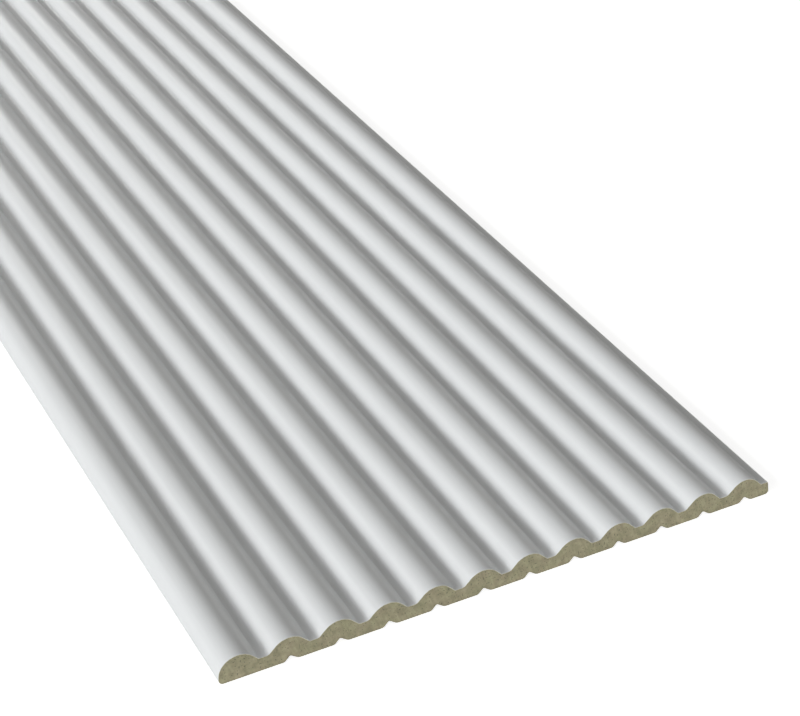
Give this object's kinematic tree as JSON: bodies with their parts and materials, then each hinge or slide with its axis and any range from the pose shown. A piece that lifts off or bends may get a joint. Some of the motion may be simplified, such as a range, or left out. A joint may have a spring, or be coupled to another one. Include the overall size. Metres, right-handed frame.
{
  "type": "fluted wall panel",
  "caption": "Long straight wall panel with round ribs and narrow flat valleys on its face, shallow glue grooves in its flat back, one round long edge and one low ledge for the next panel.",
  "frame": {"origin": "middle of the back, which lies on the floor or against the wall", "axes": "+Y along the panel and its ribs, +Z out of the back towards the ribbed face, +X across the ribs from the round edge to the ledge"},
  "size_m": [0.25, 2, 0.0115],
  "materials": {
    "primed_foam": "satin"
  },
  "bodies": {
    "root": {"wall_panel": "primed_foam"}
  },
  "joints": []
}
